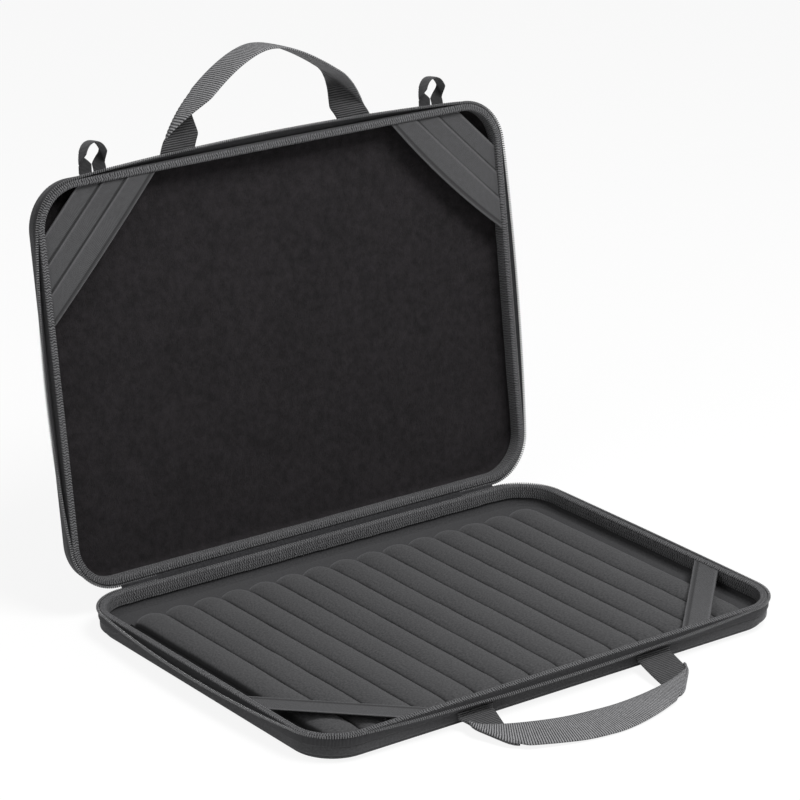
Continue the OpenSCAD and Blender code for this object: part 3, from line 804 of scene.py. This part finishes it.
def folded_row(t, span, shape, width, lanes):
    """Points from the inner edge to the outer one: along the wall, out from it and up."""
    reach, knee_in, knee_out, neck, share, lean, drop, shift = shape
    x = (span + width) / 2
    line = [[x, 0], [x - knee_in, knee_out], [neck, reach], [0, reach]]
    p = bezier(line, t)
    run = bezier(line, min(t + 0.01, 1)) - bezier(line, max(t - 0.01, 0))
    run = run / np.linalg.norm(run)
    folded = smooth_step((t - FOLD_MIDDLE) / (1.42 * share) + 0.5)
    front = folded * (1 + FOLD_SOFT) - FOLD_SOFT / 2
    turned = smooth_step(2 * folded - 1)
    out = np.array([1 - turned + turned * run[1], -turned * run[0]])
    out = out / np.linalg.norm(out)
    turns = [math.radians((90 + lean)
                          * smooth_step((front - 1 + (j + 0.5) / lanes) / FOLD_SOFT + 0.5))
             for j in range(lanes)]
    # The crease itself follows the line p, so its outline is smooth
    flat = width / lanes * sum(math.cos(turn) for turn in turns if turn < math.pi / 2)
    row = [np.array([p[0] - out[0] * flat, p[1] - out[1] * flat, drop * smooth_step(2 * t)])]
    for turn in turns:
        step = [out[0] * math.cos(turn), out[1] * math.cos(turn), math.sin(turn)]
        row.append(row[-1] + width / lanes * np.array(step))
    # Painted shade: each lane is darker where it still lies flat, before it turns over at the fold.
    shade = [max(math.cos(turn), 0) * (1 - turned) for turn in turns]
    return np.array(row), [shade[0]] + shade


def folded_strap(name, foot, shape, span, width, thick, material, steps, lanes=12):
    halves, shades = {}, {}
    for side in (-1, 1):
        rows = sewn_rows(foot, side, span, width, thick, lanes)
        # Painted shade: the sewn ends down the wall are painted dark all over.
        shades[side] = [[1.0] * (lanes + 1)] * len(rows)
        for k in range(1, steps + 1):
            t = k / steps
            row, shade = folded_row(t, span, shape, width, lanes)
            shades[side].append(shade)
            crown = [0.02 * width * (1 - (2 * j / lanes - 1) ** 2) * smooth_step(2 * t)
                     for j in range(lanes + 1)]
            rows.append([(foot[0] + side * x + shape[7] * smooth_step(t), foot[1] - out - c * 0.6,
                          foot[2] + up) for (x, out, up), c in zip(row, crown)])
        halves[side] = rows
    strip = np.array(halves[-1] + halves[1][-2::-1])
    for i, row in enumerate(strip):
        row[:, 2] += width * 0.006 * rough(i / 30.0, foot[0] / 9.0, seed=11)
    chart, length = plain_chart(strip)
    shade = shades[-1] + shades[1][-2::-1]
    piece = strip_piece(name, strip, chart, thick, on_lid, material, shade)
    print(name, "length, mm:", round(length, 1), "faces:", len(piece.data.polygons))
    return piece


HANDLE_Z, HANDLE_SPAN, WEB_W, WEB_T = 8.0, 152.0, 28.0, 1.8
LOOP_X, LOOP_SPAN, LOOP_W, LOOP_T = 145, 11.6, 10, 0.9
# Reach, knee in and out, neck, share that folds, lean, drop and sideways shift
HANDLE_SHAPE, LOOP_SHAPE = (66, 6, 22, 30, 0.38, 3, -5, -4), (20, 1, 9, 8, 0.38, 0, -2, 0)
lid_handle = folded_strap("lid_web_handle", (0, SWING_Y, HANDLE_Z), HANDLE_SHAPE, HANDLE_SPAN,
                          WEB_W, WEB_T, WEBBING, 110)
case_point(on_lid, (0, -145.2, 8))
case_point(on_lid, (0, -151.5, 8))
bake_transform(lid_handle)
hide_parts("lid_handle", "lid_handle_ends")
for side, word in ((-1, "left"), (1, "right")):
    loop = folded_strap("strap_loop_" + word, (side * LOOP_X, SWING_Y, HANDLE_Z), LOOP_SHAPE,
                        LOOP_SPAN, LOOP_W, LOOP_T, RIBBON, 48, 8)
    case_point(on_lid, (0, -145.0, 8))
    case_point(on_lid, (0, -149.5, 8))
    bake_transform(loop)
    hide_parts("lid_loop_" + word)

# %% [markdown]
# ## The tray's handle
# This one lies out on the ground. Each end goes out flat, turns over a slanted crease and
# comes back as the grip, which lies on top of both ends. The ribs run along the wall on the
# ends, and straight across the arch on the grip, so each side of the crease has its own map.

# %% The handle that lies on the ground
GRIP_FOOT = (HANDLE_SPAN + WEB_W) / 2
GRIP_FOLD = (8.0, 18.0)
GRIP_CORNER = ((14 - GRIP_FOOT, 48.0), (GRIP_FOOT - 35, 52.0))
GRIP_REACH, CREASE_R, SLOPE = 65.5, WEB_T / 2 + 0.1, math.radians(7.3)
ARCH_MIDDLE, ARCH_R = (-8.0, -67.5), 133.0
LANES, END_ROWS, GRIP_ROWS = 12, 24, 160
ROUND_STEPS, ROUND_CUT, ROUND_OUT = 8, 3.2, 2.2


def mix(a, b, u):
    return np.asarray(a) + (np.asarray(b) - np.asarray(a)) * u


def lanes_between(far, near):
    return np.array([mix(far, near, j / LANES) for j in range(LANES + 1)])


def crease_row(side, turn):
    k = 0 if side < 0 else 1
    far = np.array([*GRIP_CORNER[k], CREASE_R])
    near = np.array([side * GRIP_FOOT, GRIP_FOLD[k], CREASE_R])
    along = (far - near) / np.linalg.norm(far - near)
    past = np.array([along[1], -along[0], 0]) * side
    row = lanes_between(far, near)
    row += (past * math.sin(turn) * CREASE_R * (1 - row_ends(row))
            - np.array([0, 0, math.cos(turn)]) * CREASE_R)
    return rounded(row, side, 0)


def row_ends(row):
    """1 at the two ends of a row, falling to 0 over three lanes."""
    lane = np.arange(len(row))[:, None]
    return np.maximum(1 - np.minimum(lane, len(row) - 1 - lane) / 3, 0) ** 2


def rounded(row, side, steps):
    """Shorten a row that lies so many steps from a crease, which rounds the fold's corners."""
    ease = max(1 - steps / ROUND_STEPS, 0)
    cut = ROUND_CUT * (1 - math.sqrt(1 - ease ** 2))
    lane = np.linspace(0, 1, len(row))[:, None]
    along = (row[-1, :2] - row[0, :2]) / np.linalg.norm(row[-1, :2] - row[0, :2])
    row[:, :2] += along * cut * ((1 - lane) - lane * (1.0 if side > 0 else 0.3))
    row[:, :2] += np.array([along[1], -along[0]]) * side * ROUND_OUT * ease ** 2 * row_ends(row)
    return row


def grip_row(u):
    rise = math.sin(math.pi * u)
    far = mix(GRIP_CORNER[0][1], GRIP_CORNER[1][1], u) + (GRIP_REACH - 50) * rise
    near = mix(GRIP_FOLD[0], GRIP_FOLD[1], u) + (GRIP_REACH - WEB_W - 13) * rise ** 0.6
    row = lanes_between((float(mix(GRIP_CORNER[0][0], GRIP_CORNER[1][0], u)), far, 2 * CREASE_R),
                        (float(mix(-GRIP_FOOT, GRIP_FOOT, u)), near, 2 * CREASE_R))
    row[:, 2] += ((0.3 * rough(u * 7, seed=21) - 0.25) * rise
                  + 0.35 * rise * np.sin(np.linspace(0, math.pi, len(row))))
    return row


def lying_handle():
    strip, folded = [], []
    for side in (-1, 1):
        root = lanes_between((side * (GRIP_FOOT - WEB_W), 0, 0), (side * GRIP_FOOT, 0, 0))
        start = crease_row(side, 0)
        shares = np.linspace(0, 1, END_ROWS + 1)[:-1]
        rows = [mix(root, start, s) for s in shares]
        for s, row in zip(shares, rows):
            # The inner edge of the end is bowed out a little
            bow = (1.5 if side < 0 else 3.2) * math.sin(math.pi * s) * np.linspace(1, 0, len(row))
            row[:, 0] -= 0.6 * bow
            row[:, 1] += 0.8 * bow
        turns = [crease_row(side, turn) for turn in np.linspace(0, math.pi, 9)]
        marks = [0] * (len(rows) + 4) + [1] * 4
        if side < 0:
            strip, folded = rows + turns, marks
            for k in range(1, GRIP_ROWS):
                half = -1 if k < GRIP_ROWS / 2 else 1
                strip.append(rounded(grip_row(k / GRIP_ROWS), half, min(k, GRIP_ROWS - k)))
            folded += [1] * GRIP_ROWS
        else:
            strip += turns[::-1] + rows[::-1]
            folded += marks[::-1]
    strip = np.array(strip)
    chart = []
    for i, grip in enumerate(folded):
        pair = []
        for row in strip[i:i + 2]:
            if grip:
                x, out = row[:, 0] - ARCH_MIDDLE[0], row[:, 1] - ARCH_MIDDLE[1]
                pair.append(list(zip(ARCH_R * np.arctan2(x, out), np.hypot(x, out))))
            else:
                pair.append(list(zip(row[:, 1], row[:, 0])))
        chart.append(pair)
    # From (along the wall, out, up) to the case, sloping down to the ground
    out, up = strip[..., 1].copy(), strip[..., 2].copy()
    strip[..., 1] = SWING_Y - out * math.cos(SLOPE) + up * math.sin(SLOPE)
    strip[..., 2] = HANDLE_Z - out * math.sin(SLOPE) + up * math.cos(SLOPE)
    foot = (0, SWING_Y, HANDLE_Z)
    ends = {side: np.array(sewn_rows(foot, side, HANDLE_SPAN, WEB_W, WEB_T, LANES))
            for side in (-1, 1)}
    full = np.concatenate([ends[-1], strip, ends[1][::-1]])
    down = [[list(zip(row[:, 2] - 22, row[:, 0])) for row in ends[side]] for side in (-1, 1)]
    first = list(zip(down[0], down[0][1:] + [chart[0][0]]))
    last = list(zip(down[1], down[1][1:] + [chart[-1][1]]))
    # Painted shade: the sewn ends and the flat ends under the grip are painted dark; the grip is not.
    ends_shade = [1] * len(ends[1])
    shade = ends_shade + [1 - mark for mark in folded[:1] + folded] + ends_shade
    shade = np.repeat(np.array(shade)[:, None], LANES + 1, 1)
    return full, first + chart + [(b, a) for a, b in last[::-1]], shade


strip, chart, shade = lying_handle()
tray_handle = strip_piece("tray_web_handle", strip, chart, WEB_T, on_tray, WEBBING, shade)
lowest = min(v.co.z for v in tray_handle.data.vertices)
print("tray handle, lowest point, mm:", round(lowest / MM, 2))
case_point(on_tray, (0, -145.2, 8))
case_point(on_tray, (0, -151.5, 8))
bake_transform(tray_handle)
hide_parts("tray_handle", "tray_handle_ends")

# %% [markdown]
# ## Elastic bands
# A band crosses each corner at forty-five degrees, and its ends are caught under the
# binding. Each is a flat strip whose rows run across the corner, cut where it meets the wall.

# %% Corner bands
def edges(u):
    """Lighter along the two stitched edges, and painted shadow where the next band begins."""
    return float(np.interp(u, [0, 0.04, 0.08, 0.12, 0.76, 0.82, 0.9, 0.94, 0.97, 1],
                           [0.9, -0.6, -0.6, 0, 0, 0.9, 0.5, 0, -0.5, 0.2]))


def band_piece(name, side, reach, z, place, width=18.0, bow=0.0):
    rows, along, dark = [], [], []
    count, lanes, thick = 60, 50, 0.8
    corner = np.array([side * CASE_W / 2, -CASE_D / 2])
    inward, run = np.array([-side, 1]) / math.sqrt(2), np.array([-side, -1]) / math.sqrt(2)
    limit = -BINDING_IN - 0.4
    dips = [0.25 if j in (0, lanes) else 0 for j in range(lanes + 1)]
    shades = [edges(j / lanes) for j in range(lanes + 1)]
    for i in range(count + 1):
        v = 2 * i / count - 1
        upper, lower = [], []
        for j, dip in enumerate(dips):
            depth = reach + (j / lanes - 0.5) * width
            half = depth - limit * math.sqrt(2)
            bend = bow * (1 - v * v) * (j / lanes)
            p = corner + inward * (depth + bend) + run * (half * v)
            upper.append((p[0], p[1], z + thick - dip))
            lower.append((p[0], p[1], z + dip))
        rows.append(upper + lower[::-1])
        dark += shades + shades[::-1]
        along.append(v * (reach - limit * math.sqrt(2)))
    piece = grid_piece(name, place(rows), along, ELASTIC)
    store_painted_shade(piece, dark)
    return piece


# The lid's three bands overlap, and the inner ones are stretched into a bow
BAND_Z, BAND_REACH, BAND_STEP, BAND_W = RIM_Z - 2.3, 38.6, 14, 16.0
BOWS = {-1: (0.3, 0.6, 1.0), 1: (0.5, 1.5, 3.5)}
for side, word in ((-1, "left"), (1, "right")):
    band = band_piece("tray_elastic_" + word, side, 62, BAND_Z, on_tray)
    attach(band, "tray")
    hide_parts("tray_band_" + word)
    for k in (1, 2, 3):
        depth = 2.3 + (3 - k) * 1.0
        band = band_piece("lid_elastic_%s_%d" % (word, k), side, BAND_REACH + (k - 1) * BAND_STEP,
                          RIM_Z - depth, on_lid, BAND_W, BOWS[side][k - 1])
        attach(band, "lid")
        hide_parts("lid_band_%s_%d" % (word, k))

# %% [markdown]
# ## The spine
# One strip of cloth is sewn to the back wall of both shells. It lies flat on each wall and
# bends in between, so a single mesh is blended from the tray to the lid.

# %% Spine cloth
EAR = 164.0


def spine_piece():
    out = CASE_D / 2 + WALL_OUT + 0.55
    tray_part = [np.array([0, out, z]) for z in np.linspace(6.2, 19.0, 10)]
    lid_part = [on_lid([0, out, z]) for z in np.linspace(19.0, 6.2, 10)]
    a, b = tray_part[-1], lid_part[0]
    bend = [a + (b - a) * t + np.array([0, 0.0, -0.25]) * math.sin(math.pi * t)
            for t in (0.25, 0.5, 0.75)]
    line = tray_part + bend + lid_part
    length = [0.0]
    for p, q in zip(line[:-1], line[1:]):
        length.append(length[-1] + float(np.linalg.norm(q - p)))
    rows = []
    for k, p in enumerate(line):
        q0, q1 = line[max(k - 1, 0)], line[min(k + 1, len(line) - 1)]
        d = (q1 - q0) / np.linalg.norm(q1 - q0)
        n = np.array([0, d[2], -d[1]])
        # Where it bends, the cloth goes on past the ends of the zip, thinner
        wide, thin = (EAR, 0.2) if abs(k - (len(line) - 1) / 2) < 2.8 else (ZIP_END, 0.5)
        xs = np.concatenate([[-wide, -wide * 0.5 - ZIP_END * 0.5],
                             np.linspace(-ZIP_END, ZIP_END, 89),
                             [wide * 0.5 + ZIP_END * 0.5, wide]])
        rows.append([p + n * thin + np.array([x, 0, 0]) for x in xs]
                    + [p - n * thin + np.array([x, 0, 0]) for x in xs[::-1]])
    return grid_piece("spine_cloth", rows, length, SPINE), length[-1]


spine, spine_length = spine_piece()
print("spine cloth across the hinge, mm:", round(spine_length, 1))
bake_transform(spine)
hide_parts("spine_tray_leaf", "spine_lid_leaf")

# %% [markdown]
# ## Rigid pieces that keep their solid
# The board under the pad, the sliders, their pulls and the end tabs already have the right
# form, so they only get a finish.

# %% Finish the carried-over nodes
for node, finish in (("pad_backing", LINING), ("zip_slider_left", ENAMEL),
                     ("zip_slider_right", ENAMEL), ("zip_pull_left", ENAMEL),
                     ("zip_pull_right", ENAMEL), ("zip_end_tab_left", TAPE),
                     ("zip_end_tab_right", TAPE)):
    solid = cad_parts[node]
    solid.data.materials.clear()
    solid.data.materials.append(finish)

# %% [markdown]
# ## Floor, light and camera
# A pale floor, a bright plain world and two large soft lamps show dark cloth as it looks in
# a product photograph. The camera stands a little above the case, to its left front.

# %% Floor and world
FLOOR_HALF, FLOOR_Z, FLOOR_WHITE = 6, -0.0002, 0.88
floor_mesh = bpy.data.meshes.new("floor")
floor_mesh.from_pydata([(x * FLOOR_HALF, y * FLOOR_HALF, FLOOR_Z)
                        for x, y in ((-1, -1), (1, -1), (1, 1), (-1, 1))], [], [(0, 1, 2, 3)])
floor = link("floor", floor_mesh)
white, tree = new_finish("floor_white")
board = tree.nodes["Principled BSDF"]
board.inputs["Base Color"].default_value = (0.9, 0.9, 0.9, 1)
board.inputs["Roughness"].default_value = 0.9
# To the camera the floor is mostly plain white, and keeps part of the case's shadow
plain = add(tree, "ShaderNodeEmission", None, Color=(1, 1, 1, 1), Strength=1.0)
seen = add(tree, "ShaderNodeLightPath").outputs["Is Camera Ray"]
share = maths(tree, "MULTIPLY", seen, FLOOR_WHITE)
both = add(tree, "ShaderNodeMixShader", None, i0=share)
tree.links.new(board.outputs[0], both.inputs[1])
tree.links.new(plain.outputs[0], both.inputs[2])
tree.links.new(both.outputs[0], tree.nodes["Material Output"].inputs["Surface"])
floor_mesh.materials.append(white)

world = bpy.data.worlds.new("studio")
bpy.context.scene.world = world
world.use_nodes = True
tree = world.node_tree
tree.nodes.clear()
path = add(tree, "ShaderNodeLightPath")
seen = maths(tree, "MAXIMUM", path.outputs["Is Camera Ray"], 0.0)
level = add(tree, "ShaderNodeMapRange", None, Value=seen, To_Min=0.34, To_Max=1.0)
sky = add(tree, "ShaderNodeBackground", None, Color=(1, 1, 1, 1), Strength=level.outputs[0])
tree.links.new(sky.outputs[0], add(tree, "ShaderNodeOutputWorld").inputs["Surface"])


def lamp(name, place, aim, size, power):
    data = bpy.data.lights.new(name, "AREA")
    data.shape, data.size, data.energy = "SQUARE", size, power
    item = link(name, data)
    item.location = place
    item.rotation_euler = (Vector(aim) - Vector(place)).to_track_quat("-Z", "Y").to_euler()
    return item


lamp("key", (0.25, -0.9, 1.8), (0, -0.05, 0.1), 0.8, 40)
lamp("fill", (-1.7, -0.6, 1.4), (0, 0, 0.1), 1.2, 9)

# %% The camera
LENS, CAMERA_AT, AIM_AT = 156.3, (-1.3377, -1.7668, 0.9698), (-0.0284, 0.002, 0.1718)
camera_data = bpy.data.cameras.new("camera")
camera_data.lens, camera_data.sensor_width = LENS, 36.0
camera = link("camera", camera_data)
camera.location = CAMERA_AT
camera.rotation_euler = (Vector(AIM_AT) - camera.location).to_track_quat("-Z", "Y").to_euler()
bpy.context.scene.camera = camera
bpy.context.scene.view_settings.view_transform = "Standard"
